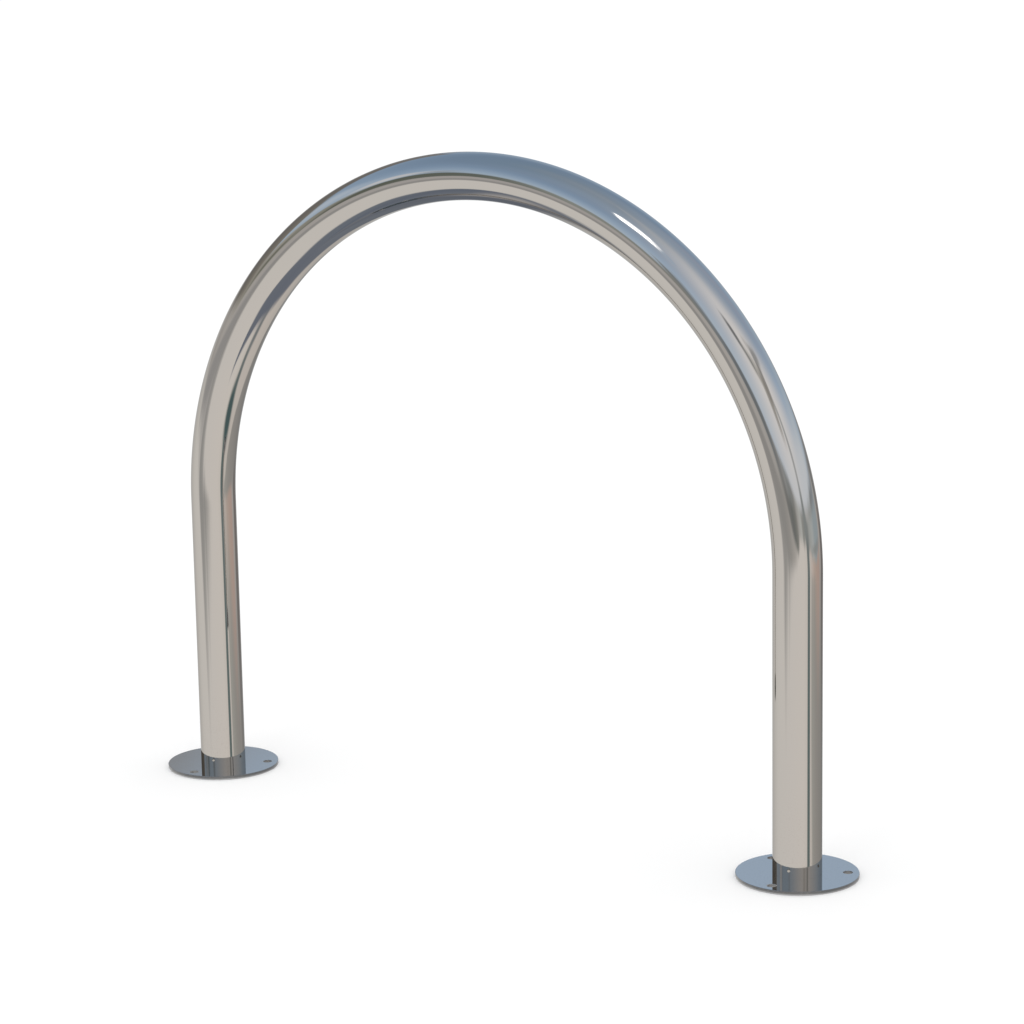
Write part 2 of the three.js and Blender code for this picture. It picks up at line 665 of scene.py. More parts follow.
@dataclass
class HoopTube:
    """The one long tube: a half-circle arch on two straight legs, hollow and cut square."""

    tube_radius: float
    bend_radius: float
    leg_height: float
    foot_height: float
    wall: float = 2.8 * MILLIMETRE
    sides: int = 96
    bend_steps: int = 160
    leg_steps: int = 42

    @classmethod
    def from_frame(cls) -> "HoopTube":
        """Reads the tube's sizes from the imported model.

        Returns:
            The tube.
        """
        low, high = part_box("hoop_tube")
        radius = (high.y - low.y) / 2
        bend_radius = (high.x - low.x) / 2 - radius
        return cls(radius, bend_radius, high.z - radius - bend_radius, low.z)

    def build(self, finishes: Finishes) -> None:
        """Makes the tube.

        Args:
            finishes: The materials.
        """
        sizes = {**titled(self), "Outside": finishes.tube, "Inside": finishes.mill}
        graph = MeshGraph("Hoop Sweep", sizes)
        self._sweep(graph)
        seat(graph.run("polished_hoop"), "hoop_tube")

    def _sweep(self, graph: MeshGraph) -> None:
        """Wraps a grid into the hoop.

        The grid's rings run up the outside wall from the left foot to the right, and back along the
        bore, and its columns run round the tube. The first and last ring are one, and so are the
        first and last column, so that the merged mesh is one closed skin.

        Args:
            graph: The tube's tree.
        """
        size = graph.entry
        steps = size["Leg Steps"] * 2 + size["Bend Steps"]
        last_ring = steps * 2 + 2
        flat = graph.grid(last_ring, size["Sides"])
        ring = graph.math("ROUND", last_ring * 0.5 + flat["X"])
        kept = graph.then("GeometryNodeCaptureAttribute")
        kept.node.capture_items.new("FLOAT", "Ring")
        graph.feed(kept.node.inputs["Ring"], ring)

        way_back = steps * 2 + 1 - ring
        station = graph.math("MAXIMUM", graph.math("MINIMUM", ring, way_back), 0)
        past_leg = station - size["Leg Steps"]
        past_bend = past_leg - size["Bend Steps"]
        turn = graph.math("DIVIDE", past_leg, size["Bend Steps"], clamp=True) * math.pi
        drop = (size["Leg Height"] - size["Foot Height"]) / size["Leg Steps"]
        left_drop = graph.math("MINIMUM", past_leg, 0) * drop
        right_drop = graph.math("MAXIMUM", past_bend, 0) * drop

        # Rings have whole numbers, so a part of one keeps the tests clear of them.
        past_outside = graph.math("GREATER_THAN", ring, steps + 0.5)
        in_bore = past_outside * graph.math("GREATER_THAN", way_back, -0.5)
        radius = size["Tube Radius"] - in_bore * size["Wall"]
        angle = (size["Sides"] * 0.5 + flat["Y"]) / size["Sides"] * FULL_TURN
        outward = graph.math("COSINE", angle) * radius
        sideways = graph.math("SINE", angle) * radius
        reach = size["Bend Radius"] + outward
        across = -(graph.math("COSINE", turn) * reach)
        rise = graph.math("SINE", turn) * reach + size["Leg Height"] + left_drop - right_drop
        along = turn * size["Bend Radius"] + (left_drop + right_drop)

        straight = graph.add("ShaderNodeCombineXYZ", {"X": outward, "Y": sideways, "Z": along})
        graph.then(
            "GeometryNodeStoreNamedAttribute",
            {"Name": Lay.ALONG_TUBE.value, "Value": straight},
            data_type="FLOAT_VECTOR",
            domain="POINT",
        )
        graph.wrap(across, sideways, rise)
        graph.crease()
        bore_side = graph.compare("GREATER_THAN", kept["Ring"], steps + 0.25)
        graph.coat((True, size["Outside"]), (bore_side, size["Inside"]))


def turned_mesh(name: str, profile: Sequence[Pair], centre: Vector, sides: int) -> Mesh:
    """Turns a closed profile about an upright axis.

    Args:
        name: The mesh's name.
        profile: Corners of (radius, height), counterclockwise as seen with the axis on the left. A
            corner of radius 0 closes on the axis.
        centre: Where the axis stands.
        sides: How many steps go round.

    Returns:
        The mesh, with its faces outward.
    """
    points: list[Place] = []
    rings: list[list[int]] = []
    for radius, height in profile:
        spots = arc(centre, radius, 0, 360, sides)[:-1] if radius > 0 else [(centre.x, centre.y)]
        rings.append([len(points) + step % len(spots) for step in range(sides)])
        points.extend((x, y, height) for x, y in spots)
    faces: list[list[int]] = []
    for lower, upper in zip(rings, rings[1:] + rings[:1]):
        for step in range(sides):
            after = (step + 1) % sides
            face = list(dict.fromkeys((lower[step], lower[after], upper[after], upper[step])))
            if len(face) > 2:
                faces.append(face)
    mesh = bpy.data.meshes.new(name)
    mesh.from_pydata(points, [], faces)
    mesh.update()
    return mesh


def arc(centre: Sequence[float], radius: float, start: float, end: float, steps: int) -> list[Pair]:
    """Lays points along an arc from one angle to another, in degrees, with both ends."""
    angles = (math.radians(start + (end - start) * step / steps) for step in range(steps + 1))
    return [(centre[0] + radius * math.cos(a), centre[1] + radius * math.sin(a)) for a in angles]


@dataclass
class BaseFlange:
    """A round plate with a bore for the tube and three bolt holes."""

    side: Side
    centre: Vector
    radius: float
    thickness: float
    tube_radius: float
    bore_clearance: float = 0.05 * MILLIMETRE
    rim_round: float = 0.4 * MILLIMETRE
    rim_steps: int = 8
    edge_break: float = 0.25 * MILLIMETRE
    weld_groove: float = 3 * MILLIMETRE
    bolt_holes: int = 3
    hole_diameter: float = 12 * MILLIMETRE
    hole_to_rim: float = 8 * MILLIMETRE
    first_hole: float = -90.0
    sides: int = 192
    hole_sides: int = 48

    @classmethod
    def from_frame(cls, side: Side, tube: HoopTube) -> "BaseFlange":
        """Reads the place and sizes of a side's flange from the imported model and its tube."""
        low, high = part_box(f"{side.value}_flange")
        return cls(side, (low + high) / 2, (high.y - low.y) / 2, high.z, tube.tube_radius)

    @property
    def bolt_circle(self) -> float:
        """Gives the radius of the circle that the holes lie on."""
        return self.radius - self.hole_to_rim - self.hole_diameter / 2

    def hole_centres(self) -> list[Pair]:
        """Finds where the bolt holes are on the ground."""
        first = self.first_hole
        return arc((self.centre.x, 0), self.bolt_circle, first, first + 360, self.bolt_holes)[:-1]

    def build(self, finishes: Finishes) -> None:
        """Makes the flange.

        Args:
            finishes: The materials.
        """
        name = f"{self.side.value}_base_plate"
        cutter = new_object("hole_cutter", self._cutter_mesh())
        sizes = {
            "Cutter": cutter,
            "Holes": self.bolt_holes,
            "Bolt Circle": self.bolt_circle,
            "First Hole": math.radians(self.first_hole),
            "Centre X": self.centre.x,
            "Holes Reach": self.radius - self.hole_to_rim / 2,
            "Face": finishes.plate,
            "Cut": finishes.cut_edge,
            "Drilled": finishes.drilled,
        }
        graph = MeshGraph("Bolt Holes", sizes)
        self._drill(graph)
        piece = graph.run(name, self._blank_mesh(name))
        bpy.data.objects.remove(cutter)
        seat(piece, f"{self.side.value}_flange")

    def _blank_mesh(self, name: str) -> Mesh:
        """Turns the plate before it is drilled.

        Args:
            name: The mesh's name.

        Returns:
            The plate with its bore and the weld's groove.
        """
        bore = self.tube_radius + self.bore_clearance
        top, rim, small, soft = self.thickness, self.radius, self.edge_break, self.rim_round
        profile = [
            (bore + self.weld_groove, 0.0),
            (rim - small, 0.0),
            (rim, small),
            *arc((rim - soft, top - soft), soft, 0, 90, self.rim_steps),
            (bore, top),
            (bore, self.weld_groove),
        ]
        return turned_mesh(name, profile, self.centre, self.sides)

    def _cutter_mesh(self) -> Mesh:
        """Turns the cutter for one hole.

        Returns:
            A drill at the origin, with a flare at both faces that breaks the hole's edge.
        """
        hole, flare, top = self.hole_diameter / 2, self.edge_break, self.thickness
        past = 2 * flare
        profile = [
            (0.0, -past),
            (hole + flare + past, -past),
            (hole, flare),
            (hole, top - flare),
            (hole + flare + past, top + past),
            (0.0, top + past),
        ]
        return turned_mesh("hole_cutter", profile, Vector(), self.hole_sides)

    def _drill(self, graph: MeshGraph) -> None:
        """Drills the bolt holes and gives each surface its finish.

        Args:
            graph: The flange's tree.
        """
        size = graph.entry
        angle = graph.add("GeometryNodeInputIndex") / size["Holes"] * FULL_TURN + size["First Hole"]
        across = graph.math("COSINE", angle) * size["Bolt Circle"] + size["Centre X"]
        deep = graph.math("SINE", angle) * size["Bolt Circle"]
        place = graph.add("ShaderNodeCombineXYZ", {"X": across, "Y": deep})
        spots = graph.add("GeometryNodePoints", {"Count": size["Holes"], "Position": place})
        cutter = graph.add("GeometryNodeObjectInfo", {"Object": size["Cutter"]})["Geometry"]
        drills = graph.add("GeometryNodeInstanceOnPoints", {"Points": spots, "Instance": cutter})
        graph.geometry = graph.add(
            "GeometryNodeMeshBoolean",
            {"Mesh 1": size["Geometry"], "Mesh 2": drills},
            operation="DIFFERENCE",
            solver="EXACT",
        )
        normal = graph.add("GeometryNodeInputNormal")
        upright = abs(graph.add("ShaderNodeSeparateXYZ", {0: normal})["Z"])
        level = graph.compare("GREATER_THAN", upright, LEVEL_UPRIGHT)
        walls = graph.compare("LESS_THAN", upright, WALL_UPRIGHT)
        graph.then("GeometryNodeSetShadeSmooth")
        graph.then("GeometryNodeSetShadeSmooth", {"Selection": level, "Shade Smooth": False})
        graph.crease()
        axis = graph.add("ShaderNodeCombineXYZ", {"X": size["Centre X"]})
        here = {0: graph.add("GeometryNodeInputPosition"), 1: (1, 1, 0)}
        spot = graph.add("ShaderNodeVectorMath", here, operation="MULTIPLY")
        out = graph.add("ShaderNodeVectorMath", {0: spot, 1: axis}, operation="DISTANCE")["Value"]
        inner = graph.compare("LESS_THAN", out, size["Holes Reach"])
        in_hole = graph.add("FunctionNodeBooleanMath", {0: walls, 1: inner})
        # The hole walls take the lighter copy of the cut steel, painted lighter against the shade in the
        # holes.
        graph.coat((True, size["Face"]), (walls, size["Cut"]), (in_hole, size["Drilled"]))


@dataclass
class WeldBead:
    """The rippled bead in the groove under a flange."""

    RING_WIDTH = 5 * MILLIMETRE

    side: Side
    centre: Vector
    inner_radius: float
    outer_radius: float
    low: float
    high: float
    width_share: float = 0.36  # half the bead's width, as a share of the ring's
    section_lean: float = -0.45
    ripples: int = 84
    ripple_depth: float = 0.22 * MILLIMETRE
    ripple_bow: float = -0.6
    sides: int = 504
    section_points: int = 20

    @classmethod
    def from_frame(cls, side: Side) -> "WeldBead":
        """Reads a bead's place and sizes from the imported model.

        Args:
            side: Which foot it is under.

        Returns:
            The bead.
        """
        low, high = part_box(f"{side.value}_weld")
        outer = (high.y - low.y) / 2
        return cls(side, (low + high) / 2, outer - cls.RING_WIDTH, outer, low.z, high.z)

    def build(self, finishes: Finishes) -> None:
        """Makes the bead.

        Args:
            finishes: The materials.
        """
        sizes = {**titled(self), "Centre X": self.centre.x, "Metal": finishes.weld}
        graph = MeshGraph("Weld Ripples", sizes)
        self._ripple(graph)
        piece = graph.run(f"{self.side.value}_weld_bead")
        seat(piece, f"{self.side.value}_weld")

    def _ripple(self, graph: MeshGraph) -> None:
        """Wraps a grid into a ring whose lower side has overlapping ripples.

        Args:
            graph: The bead's tree.
        """
        size = graph.entry
        flat = graph.grid(size["Section Points"], size["Sides"])
        turned = flat["Y"] / size["Sides"] + 0.5
        angle = turned * FULL_TURN
        section_angle = flat["X"] / size["Section Points"] * -FULL_TURN
        out = graph.math("COSINE", section_angle)
        up = graph.math("SINE", section_angle)

        half_height = (size["High"] - size["Low"]) * 0.5 - size["Ripple Depth"] * 0.5
        middle = size["High"] - half_height
        half_width = (size["Outer Radius"] - size["Inner Radius"]) * size["Width Share"]
        core = (size["Outer Radius"] + size["Inner Radius"]) * 0.5
        radial = out * half_width + core + up * half_height * size["Section Lean"]
        bow = out * out * size["Ripple Bow"]
        phase = graph.math("FRACT", turned * size["Ripples"] + (bow + 1.0))
        crest = graph.math("SINE", phase * math.pi) * size["Ripple Depth"]
        under = graph.math("MAXIMUM", -up, 0)
        height = up * half_height + middle - crest * under
        across = graph.math("COSINE", angle) * radial + size["Centre X"]
        graph.wrap(across, graph.math("SINE", angle) * radial, height)
        graph.coat((True, size["Metal"]))


@dataclass(frozen=True)
class Card:
    """A soft-edged card that hangs in front of the backdrop, as the polished steel shows it."""

    azimuth: float
    elevation: float
    half_width: float
    half_height: float
    colour: Tone
    softness: float = 0.6
    squareness: float = 2.0
    lean: float = 0.0
    strength: float = 1.0


@dataclass(frozen=True)
class Sweep:
    """A layer of the backdrop that fills everything below its edge, all the way round.

    The edge is given as (azimuth, elevation) points, and the tones as (azimuth, colour) stops. Both
    start at -180 degrees, and close on their first value.
    """

    edge: tuple[Pair, ...]
    tones: tuple[tuple[float, Tone], ...]
    blur: float


SKY_TONES = (
    (0, (160, 172, 184)), (14, (154, 167, 179)), (24, (139, 156, 174)), (38, (119, 138, 159)),
    (50, (110, 128, 148)), (62, (109, 127, 145)), (75, (118, 131, 144)), (90, (131, 140, 150)),
)

SKY_CARDS = (
    Card(-23, 34, 39, 36, (200, 195, 191), softness=0.95),
    Card(32, 63, 16, 17, (160, 166, 174), softness=0.95, strength=0.45),
    Card(-84, 60, 22, 16, (180, 185, 194), softness=0.9, strength=0.2),
    Card(66, 60, 20, 16, (135, 146, 160), softness=0.9, strength=0.6),
    Card(69, 39, 11, 15, (143, 147, 158), softness=0.85, strength=0.65),
    Card(-86.2, 53.7, 6.2, 7.1, (226, 228, 231), softness=0.2, squareness=3, lean=-9),
    Card(-77.5, 47.7, 2.3, 5.4, (149, 159, 171), softness=0.3, lean=-33),
    Card(34, 9, 27, 7, (186, 187, 188), softness=0.9, strength=0.8),
    Card(120, 18, 12, 14, (145, 159, 174), softness=0.8, strength=0.95),
    Card(-141, 20.8, 5.9, 4, (182, 182, 184)),
    Card(-132.3, 20.4, 2.4, 1.8, (140, 142, 145), softness=0.7, strength=0.8),
    Card(-165, 23, 12, 5, (168, 177, 186), softness=0.8, strength=0.8),
)

LOW_WALL = Sweep(
    edge=(
        (-180, 25), (-172, 21.5), (-164, 12.8), (-156, 14.5), (-148, 16), (-140, 15.3), (-132, 16.6),
        (-126, 15.2), (-116, 13), (-110, 9), (-107, 10), (-103.5, 16.5), (-100.5, 17), (-97, 13.5),
        (-91, 10.5), (-84, 9), (-76, 6), (-60, 5.5), (-50, 5), (-44, 4.5), (-38, 3.5), (4, 3.7),
        (18, 4.0), (32, 4.8), (50, 5.0), (62, 4.6), (76, 4.0), (90, 2), (112, 4), (124, 6),
        (129, 14.6), (131.6, 16.5), (135, 27), (140, 31), (148, 30.5), (158, 29.5), (170, 27),
    ),
    tones=(
        (-180, (110, 106, 98)), (-170, (118, 112, 104)), (-160, (134, 130, 120)),
        (-144, (125, 123, 113)), (-138, (85, 87, 77)), (-125, (90, 94, 87)), (-118, (127, 129, 123)),
        (-108, (121, 120, 114)), (-101, (112, 116, 118)), (-95, (99, 102, 104)),
        (-84, (103, 106, 107)), (-76, (122, 121, 119)), (-68, (132, 132, 130)),
        (-60, (120, 122, 120)), (-50, (124, 123, 120)), (-42, (150, 149, 145)),
        (-32, (161, 161, 155)), (-22, (137, 136, 133)), (-9, (126, 128, 127)), (-2, (158, 157, 153)),
        (6, (157, 155, 152)), (16, (143, 144, 141)), (28, (140, 141, 139)), (36, (121, 123, 123)),
        (50, (124, 127, 130)), (62, (133, 134, 135)), (84, (136, 138, 138)), (112, (160, 160, 160)),
        (130, (126, 124, 122)), (148, (112, 107, 101)), (160, (106, 102, 98)),
    ),
    blur=2.4,
)

FAR_FLOOR = Sweep(
    edge=(
        (-180, 6.5), (-170, 6.5), (-162, 4.3), (-152, 3), (-147, 3.6), (-140, 5), (-132, 5.2),
        (-124, 2.5), (-116, 3.5), (-98, 2.4), (-90, 1.2), (-82, 0), (-50, 0.5), (60, 1), (90, 2),
        (120, 4), (132, 7), (138, 11), (144, 8), (150, 5.5), (165, 5.5),
    ),
    tones=(
        (-180, (152, 147, 142)), (-164, (158, 153, 147)), (-124, (153, 148, 144)),
        (-108, (158, 153, 148)), (-90, (153, 149, 144)), (-83, (130, 128, 124)),
        (-76, (112, 111, 108)), (-62, (102, 103, 100)), (-54, (111, 111, 106)),
        (-48, (124, 122, 117)), (-42, (152, 149, 144)), (-31, (166, 166, 161)),
        (-25, (134, 133, 128)), (-14, (122, 125, 122)), (-4, (122, 124, 122)), (4, (148, 149, 145)),
        (20, (156, 158, 156)), (34, (138, 146, 148)), (58, (140, 147, 150)), (66, (144, 144, 142)),
        (73, (120, 119, 116)), (82, (117, 117, 116)), (90, (131, 128, 125)), (104, (152, 149, 147)),
        (128, (170, 167, 164)), (150, (160, 155, 150)), (165, (162, 157, 151)),
    ),
    blur=1.8,
)

FLOOR_STRIP = Sweep(
    edge=(
        (-180, -1), (-170, -0.5), (-160, 0), (-148, -0.5), (-140, -2.4), (-132, -4.2), (-92, -4.2),
        (-84, -3), (-76, -4.5), (-68, -6.5), (-60, -8), (-30, -9), (-7, -8), (2, -6.3), (10, -7.8),
        (20, -9.1), (40, -9.2), (50, -7.8), (62, -5.4), (78, -5), (110, -5), (130, -3), (160, -1),
    ),
    tones=(
        (-180, (165, 160, 155)), (-166, (146, 142, 139)), (-154, (138, 135, 132)),
        (-132, (137, 134, 131)), (-116, (134, 131, 127)), (-98, (134, 131, 127)),
        (-84, (141, 137, 132)), (-68, (156, 151, 145)), (-30, (176, 170, 164)), (0, (182, 173, 165)),
        (10, (178, 165, 156)), (22, (168, 152, 141)), (34, (163, 145, 134)), (50, (163, 142, 132)),
        (60, (158, 147, 140)), (68, (146, 138, 133)), (76, (130, 121, 116)), (90, (137, 128, 122)),
        (102, (156, 151, 147)), (128, (170, 167, 163)), (150, (168, 164, 159)),
    ),
    blur=1.6,
)

MAT = Sweep(
    edge=(
        (-180, -12), (0, -12.5), (22, -12.8), (34, -13.8), (58, -14.3), (66, -12), (100, -12),
        (110, -16),
    ),
    tones=(
        (-180, (140, 137, 133)), (0, (152, 149, 144)), (10, (148, 145, 138)), (20, (143, 140, 134)),
        (30, (139, 135, 129)), (42, (136, 132, 127)), (90, (130, 127, 123)), (98, (132, 130, 127)),
        (106, (147, 145, 142)), (120, (152, 150, 147)),
    ),
    blur=1.8,
)

FLOOR = Sweep(
    edge=(
        (-180, -0.5), (-172, -2), (-164, -4.3), (-156, -6), (-148, -7.5), (-140, -8.7), (-132, -10.2),
        (-124, -13), (-116, -14.6), (-108, -13.6), (-92, -12.9), (-84, -12.2), (-76, -11.6),
        (-68, -10.8), (-60, -9.8), (-50, -8), (-43, -5.4), (-32, -4.6), (-24, -5.6), (-17, -4.6),
        (-2, -7.6), (3, -10), (7, -16.5), (10, -17.5), (16, -20), (22, -25.5), (28, -28.5),
        (34, -30.7), (42, -33.4), (52, -35.6), (78, -36.8), (90, -36), (102, -34), (112, -33),
        (118, -24), (123, -10), (130, -2), (142, 1), (162, 1.5),
    ),
    tones=(
        (-180, (183, 178, 171)), (-160, (187, 182, 175)), (-90, (189, 183, 176)),
        (-30, (191, 184, 176)), (10, (180, 172, 164)), (60, (179, 171, 163)), (110, (176, 170, 163)),
        (128, (186, 184, 180)), (150, (180, 176, 170)),
    ),
    blur=1.9,
)

WALL_CARDS = (
    Card(-97, 15.5, 2.4, 5, (134, 141, 148), strength=0.9),
    Card(-151, 7, 5, 2.2, (98, 98, 89), strength=0.9),
    Card(-160, 12, 7, 2.4, (152, 148, 142), softness=0.7, strength=0.6),
)

FLOOR_CARDS = (
    Card(84, -11, 14, 4, (112, 107, 104), softness=0.5, squareness=3),
    Card(35, -6.9, 19, 1.2, (130, 131, 128), strength=0.8),
    Card(66, -6.5, 4.6, 8, (162, 157, 152)),
    Card(118, -24, 12, 9, (150, 147, 144), softness=0.9, strength=0.6),
    Card(38, -46, 7, 3, (150, 145, 140), softness=0.8, strength=0.9),
)

UNDERSIDE = Sweep(
    edge=(
        (-180, -33), (-172, -34.8), (-164, -37.5), (-156, -37.4), (-148, -39.8), (-140, -48.8),
        (-132, -52), (-124, -58.3), (-108, -63.5), (-100, -66), (-84, -66.3), (-76, -63.4),
        (-68, -56.6), (-60, -53), (-56, -48.8), (-50, -41.8), (-44, -49.3), (-38, -53.3),
        (-32, -58.7), (-26, -61.6), (-12, -63.8), (0, -65), (12, -65), (20, -65.6), (30, -67),
        (42, -65.9), (60, -64), (82, -62), (100, -58.5), (112, -54), (119, -46), (124, -37),
        (128, -28), (136, -26), (142, -31), (148, -35), (160, -38), (172, -38),
    ),
    tones=(
        (-180, (107, 108, 111)), (-164, (98, 103, 112)), (-148, (92, 97, 107)),
        (-132, (99, 104, 112)), (-90, (99, 103, 111)), (0, (97, 101, 110)), (90, (100, 104, 112)),
        (128, (104, 108, 115)), (148, (96, 100, 108)), (162, (98, 101, 108)),
    ),
    blur=4.0,
)

TALL_CARDS = (
    Card(-12.8, 18.5, 3.8, 12.5, (149, 149, 147), softness=0.45, squareness=3, lean=3),
    Card(-11, -0.4, 4.9, 8.8, (123, 126, 124), softness=0.45, squareness=3, lean=12),
    Card(-7.3, -14.3, 5.3, 10.1, (103, 109, 107), softness=0.3, squareness=3, lean=12),
    Card(-6.5, -20, 5.4, 7.5, (88, 99, 97), softness=0.45, squareness=3, lean=12),
    Card(-4.5, -24, 5.0, 7, (90, 99, 96), lean=10),
    Card(-27, 36, 9.5, 4.8, (160, 156, 150), strength=0.9),
    Card(-39.6, 42.1, 5.0, 4.7, (106, 106, 106)),
    Card(-33, 37, 4.2, 2.8, (128, 127, 124), lean=-25),
    Card(-20, 30.5, 6.8, 4.2, (126, 121, 114), lean=35),
    Card(-12.5, 33.2, 4.5, 2.6, (134, 130, 126), lean=35),
    Card(-10, 44, 5, 2, (170, 166, 163), softness=0.8, strength=0.8),
    Card(-8.5, 38, 6.5, 2.9, (130, 127, 123), lean=35),
    Card(1, 40.8, 9, 2.4, (136, 135, 134), softness=0.7, lean=4),
    Card(-25.4, 26, 4.2, 7, (141, 137, 131), softness=0.7),
    Card(-30.5, 22, 1.5, 5, (160, 158, 154)),
    Card(3, -51, 6.0, 9, (100, 106, 104), lean=18),
    Card(10, -61, 6.5, 7, (110, 113, 113), softness=0.7, lean=20),
    Card(-3, -36.5, 12.5, 10.5, (68, 84, 83), softness=0.45),
    Card(-177.5, -48.8, 12.5, 4.2, (148, 144, 141), softness=0.7, lean=20),
)

LAID_OVER = {"Behind": "Color", "Colour": "Color"}  # what each layer's group mixes


class Backdrop:
    """What stands round the rack and shows in its polish: a painted backdrop and hung cards.

    Colours are given as the polished tube shows them, so each is divided by the tube's own colour
    to find how bright the backdrop is.
    """

    UNSTEADINESS = 3.0  # how many degrees the noise moves an edge
    UNSTEADINESS_SCALE = 9.0

    def __init__(self, world: bpy.types.World) -> None:
        """Starts on a world and finds the direction looked at, in degrees.

        Args:
            world: The scene's world, which holds the backdrop.
        """
        world.use_nodes = True
        world.node_tree.nodes.clear()
        world.cycles.sampling_method = "NONE"
        self.graph = graph = Graph(world.node_tree)
        self.card_tree = self._card_tree()
        self.sweep_tree = self._sweep_tree()
        direction = graph.add("ShaderNodeTexCoord")["Generated"]
        axes = graph.add("ShaderNodeSeparateXYZ", {0: direction})
        self.azimuth = graph.math("DEGREES", graph.math("ARCTAN2", axes["Y"], axes["X"]))
        self.azimuth_share = self.azimuth * (1 / 360) + 0.5
        unsteady = graph.noise(direction, self.UNSTEADINESS_SCALE, detail=3.0) - 0.5
        steady = graph.math("DEGREES", graph.math("ARCSINE", axes["Z"]))
        self.elevation = unsteady * self.UNSTEADINESS + steady

    def paint(self) -> None:
        """Paints the backdrop, from what is farthest to what is nearest."""
        graph = self.graph
        sky = [(height / 90, seen_in_tube(tone)) for height, tone in SKY_TONES]
        colour = graph.tones(self.elevation / 90.0, sky)
        walls = (SKY_CARDS, LOW_WALL, WALL_CARDS, FAR_FLOOR)
        for layer in (*walls, FLOOR_STRIP, MAT, FLOOR_CARDS, FLOOR, UNDERSIDE, TALL_CARDS):
            if isinstance(layer, Sweep):
                colour = self._sweep(layer, colour)
                continue
            for card in layer:
                colour = self._card(card, colour)
        painted = graph.add("ShaderNodeBackground", {"Color": colour})
        plain = graph.add("ShaderNodeBackground", {"Color": (1.0, 1.0, 1.0), "Strength": PLAIN_LIGHT})
        ray = graph.add("ShaderNodeLightPath")
        unmirrored = graph.math("MAXIMUM", ray["Is Camera Ray"], ray["Is Diffuse Ray"])
        surface = graph.add("ShaderNodeMixShader", {0: unmirrored, 1: painted, 2: plain})
        graph.add("ShaderNodeOutputWorld", {"Surface": surface})

    def _card_tree(self) -> bpy.types.NodeTree:
        """Builds the group that lays one card over what is behind it.

        Returns:
            The group, with an input for each of a card's fields.
        """
        numbers = (
            "Seen Azimuth", "Seen Elevation", "Azimuth", "Elevation", "Half Width", "Half Height",
            "Softness", "Squareness", "Lean", "Strength",
        )
        inputs = {**LAID_OVER, **dict.fromkeys(numbers, "Float")}
        graph = Group("Card", inputs, {"Colour": "Color"})
        card = graph.entry
        turned = graph.math("WRAP", card["Seen Azimuth"] - card["Azimuth"], 180.0, -180.0)
        aside = turned * graph.math("COSINE", graph.math("RADIANS", card["Elevation"]))
        above = card["Seen Elevation"] - card["Elevation"]
        lean = graph.math("RADIANS", card["Lean"])
        cosine, sine = graph.math("COSINE", lean), graph.math("SINE", lean)
        across = abs((aside * cosine + above * sine) / card["Half Width"])
        upward = abs((above * cosine - aside * sine) / card["Half Height"])
        power = card["Squareness"]
        total = graph.math("POWER", across, power) + graph.math("POWER", upward, power)
        reach = graph.math("POWER", total, 1.0 / power)
        cover = graph.ramp(reach, card["Softness"] + 1.0, 1.0 - card["Softness"]) * card["Strength"]
        graph.add("NodeGroupOutput", {"Colour": graph.mix(cover, card["Behind"], card["Colour"])})
        return graph.tree

    def _sweep_tree(self) -> bpy.types.NodeTree:
        """Builds the group that fills everything below an edge.

        Returns:
            The group.
        """
        numbers = dict.fromkeys(("Elevation", "Edge", "Blur"), "Float")
        graph = Group("Sweep", {**LAID_OVER, **numbers}, {"Colour": "Color"})
        entry = graph.entry
        cover = graph.ramp(entry["Elevation"] - entry["Edge"], entry["Blur"], -entry["Blur"])
        graph.add("NodeGroupOutput", {"Colour": graph.mix(cover, entry["Behind"], entry["Colour"])})
        return graph.tree

    def _card(self, card: Card, behind: Wire) -> Wire:
        """Hangs one card.

        Args:
            card: The card.
            behind: The colour behind it.

        Returns:
            The colour with the card in front.
        """
        feeds = {
            **titled(card),
            "Seen Azimuth": self.azimuth,
            "Seen Elevation": self.elevation,
            "Behind": behind,
            "Colour": seen_in_tube(card.colour),
        }
        return self.graph.add("ShaderNodeGroup", feeds, node_tree=self.card_tree)

    def _sweep(self, sweep: Sweep, behind: Wire) -> Wire:
        """Paints one layer.

        Args:
            sweep: The layer.
            behind: The colour behind it.

        Returns:
            The colour with the layer in front.
        """
        curve = self.graph.add("ShaderNodeFloatCurve", {"Value": self.azimuth_share})
        points = curve.node.mapping.curves[0].points
        edge = (*sweep.edge, (180, sweep.edge[0][1]))
        corners = [(turn / 360 + 0.5, height / 180 + 0.5) for turn, height in edge]
        points[0].location, points[-1].location = corners[0], corners[-1]
        for corner in corners[1:-1]:
            points.new(*corner)
        curve.node.mapping.update()
        stops = (*sweep.tones, (180, sweep.tones[0][1]))
        tones = [(turn / 360 + 0.5, seen_in_tube(tone)) for turn, tone in stops]
        feeds = {
            "Behind": behind,
            "Colour": self.graph.tones(self.azimuth_share, tones),
            "Elevation": self.elevation,
            "Edge": curve * 180.0 - 90.0,
            "Blur": sweep.blur,
        }
        return self.graph.add("ShaderNodeGroup", feeds, node_tree=self.sweep_tree)


def seen_in_tube(tone: Tone) -> Colour:
    """Gives the scene colour that the polished tube shows as a display colour."""
    return tuple(shown / steel for shown, steel in zip(linear(tone), STEEL))


